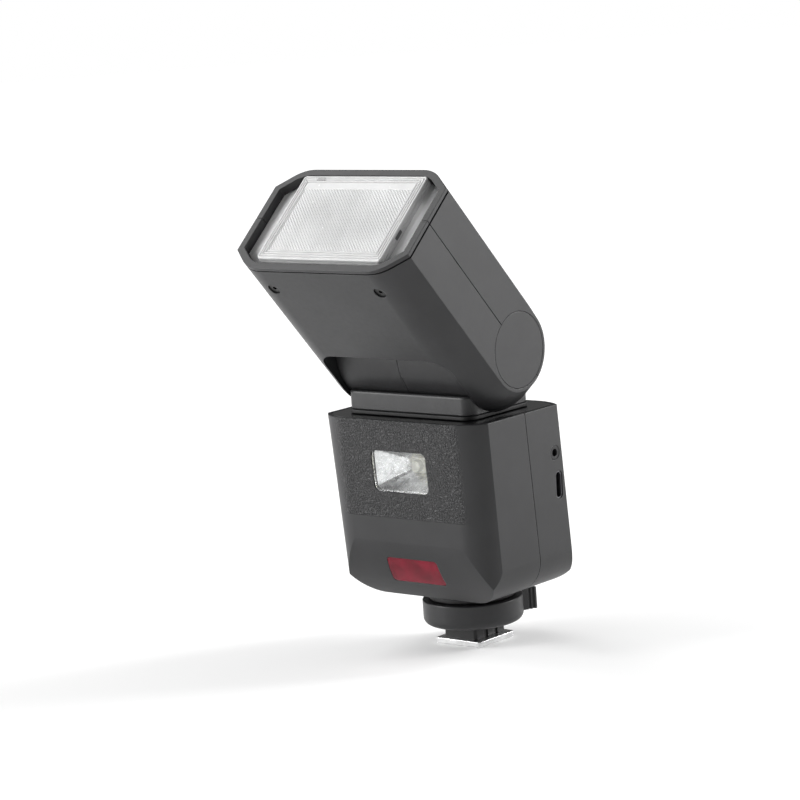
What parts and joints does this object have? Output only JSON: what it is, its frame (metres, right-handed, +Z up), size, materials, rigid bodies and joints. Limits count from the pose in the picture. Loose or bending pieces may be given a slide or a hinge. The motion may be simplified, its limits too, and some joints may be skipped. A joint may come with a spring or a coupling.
{
  "type": "speedlight flash",
  "caption": "Shoe-mount speedlight flash: black battery body with front modelling lamp and rear controls, swivelling neck and tilting rectangular zoom head.",
  "frame": {"origin": "centre of the shoe foot plate's underside", "axes": "+Z up; the lamp and assist window face -Y, the display and controls face +Y; the sockets are on +X"},
  "size_m": [0.07, 0.0884, 0.1591],
  "materials": {
    "shell_black": "fine satin moulded",
    "inner_black": "matt",
    "deck_gloss": "gloss",
    "foot_steel": "fine brushed",
    "contact_gold": "gold plated",
    "steel": "zinc plated",
    "clear_lens": "clear, prismatic",
    "tube_glass": "clear",
    "mirror_bright": "bright",
    "led_white": "white with a yellow phosphor dome",
    "assist_red": "dark translucent red",
    "display_glass": "gloss black",
    "display_dark": "liquid crystal panel",
    "board_green": "solder resist",
    "capacitor_sleeve": "aluminium can in a heat-shrink sleeve",
    "battery_wrap": "prismatic cells in a heat-shrink wrap",
    "socket_metal": "nickel plated",
    "button_rubber": "soft matt",
    "button_clear": "translucent"
  },
  "bodies": {
    "housing": {"foot_plate": "foot_steel", "foot_block": "inner_black", "foot_contacts": "contact_gold", "foot_collar": "inner_black", "foot_screws": "steel", "front_cover": "shell_black", "rear_cover": "shell_black", "top_cover": "deck_gloss", "cover_screws": "steel", "lamp_window": "clear_lens", "lamp_reflector": "mirror_bright", "lamp_emitter": "led_white", "assist_window": "assist_red", "assist_emitter": "inner_black", "display_window": "display_glass", "display_panel": "display_dark", "control_board": "board_green", "power_board": "board_green", "main_capacitor": "capacitor_sleeve", "battery_pack": "battery_wrap", "beeper": "inner_black", "sync_jack": "inner_black", "usb_port": "socket_metal", "dial_encoder": "inner_black"},
    "lock_ring": {"lock_ring": "shell_black"},
    "lock_pin": {"lock_pin": "steel"},
    "mode_button": {"mode_button": "button_rubber"},
    "wireless_button": {"wireless_button": "button_rubber"},
    "zoom_button": {"zoom_button": "button_rubber"},
    "menu_button": {"menu_button": "button_rubber"},
    "test_button": {"test_button": "button_clear"},
    "lamp_button": {"lamp_button": "button_rubber"},
    "set_button": {"set_button": "button_rubber"},
    "select_dial": {"select_dial": "deck_gloss"},
    "power_switch": {"power_switch": "button_rubber"},
    "neck": {"neck_base": "deck_gloss", "neck_block": "shell_black", "barrel_left": "shell_black", "barrel_right": "shell_black", "tilt_bracket": "steel", "tilt_shafts": "steel", "tilt_detents": "steel", "swivel_spindle": "steel", "swivel_clip": "steel", "swivel_washer": "steel"},
    "head": {"head_upper_shell": "shell_black", "head_lower_shell": "shell_black", "head_screws": "steel", "hinge_cap_left": "shell_black", "hinge_cap_right": "shell_black", "front_lens": "clear_lens", "guide_rods": "steel", "zoom_motor": "steel", "head_board": "board_green"},
    "lead_screw": {"lead_screw": "steel"},
    "zoom_carriage": {"zoom_carriage": "inner_black", "reflector": "mirror_bright", "flash_tube": "tube_glass"}
  },
  "joints": [
    {"name": "lock_turn", "type": "hinge", "parent": "housing", "child": "lock_ring", "pos_m": [0, 0, 0.0108], "axis": [0, 0, 1], "range_deg": [0, 50]},
    {"name": "lock_pin_drop", "type": "slide", "parent": "housing", "child": "lock_pin", "axis": [0, 0, -1], "range_m": [0, 0.002]},
    {"name": "mode_button_press", "type": "slide", "parent": "housing", "child": "mode_button", "axis": [0, -0.995, -0.0995], "range_m": [0, 0.0006], "stiffness_N_per_m": 1500, "springref_m": -0.0003},
    {"name": "wireless_button_press", "type": "slide", "parent": "housing", "child": "wireless_button", "axis": [0, -0.995, -0.0995], "range_m": [0, 0.0006], "stiffness_N_per_m": 1500, "springref_m": -0.0003},
    {"name": "zoom_button_press", "type": "slide", "parent": "housing", "child": "zoom_button", "axis": [0, -0.995, -0.0995], "range_m": [0, 0.0006], "stiffness_N_per_m": 1500, "springref_m": -0.0003},
    {"name": "menu_button_press", "type": "slide", "parent": "housing", "child": "menu_button", "axis": [0, -0.995, -0.0995], "range_m": [0, 0.0006], "stiffness_N_per_m": 1500, "springref_m": -0.0003},
    {"name": "test_button_press", "type": "slide", "parent": "housing", "child": "test_button", "axis": [0, -0.995, -0.0995], "range_m": [0, 0.0006], "stiffness_N_per_m": 1500, "springref_m": -0.0003},
    {"name": "lamp_button_press", "type": "slide", "parent": "housing", "child": "lamp_button", "axis": [0, -0.995, -0.0995], "range_m": [0, 0.0006], "stiffness_N_per_m": 1500, "springref_m": -0.0003},
    {"name": "set_button_press", "type": "slide", "parent": "housing", "child": "set_button", "axis": [0, -0.995, -0.0995], "range_m": [0, 0.0006], "stiffness_N_per_m": 1500, "springref_m": -0.0003},
    {"name": "dial_turn", "type": "hinge", "parent": "housing", "child": "select_dial", "pos_m": [0, 0.01728, 0.033], "axis": [0, 0.995, 0.0995], "continuous": true},
    {"name": "power_slide", "type": "slide", "parent": "housing", "child": "power_switch", "axis": [-1, 0, 0], "range_m": [0, 0.0026]},
    {"name": "swivel", "type": "hinge", "parent": "housing", "child": "neck", "pos_m": [0, -0.0106, 0.0791], "axis": [0, 0, 1], "range_deg": [-150, 180]},
    {"name": "tilt", "type": "hinge", "parent": "neck", "child": "head", "pos_m": [0, -0.0113, 0.0997], "axis": [-1, 0, 0], "range_deg": [-48.5, 71.5]},
    {"name": "zoom_slide", "type": "slide", "parent": "head", "child": "zoom_carriage", "axis": [0, -0.6626, 0.749], "range_m": [-0.012, 0]},
    {"name": "lead_screw_turn", "type": "hinge", "parent": "head", "child": "lead_screw", "pos_m": [0, -0.02657, 0.1396], "axis": [0, -0.6626, 0.749], "range_deg": [-1080.5, 0.5]}
  ],
  "couplings": [
    {"joint": "lock_pin_drop", "follows": "lock_turn", "m_per_rad": 0.0022918},
    {"joint": "lead_screw_turn", "follows": "zoom_slide", "rad_per_m": 1570.8}
  ]
}
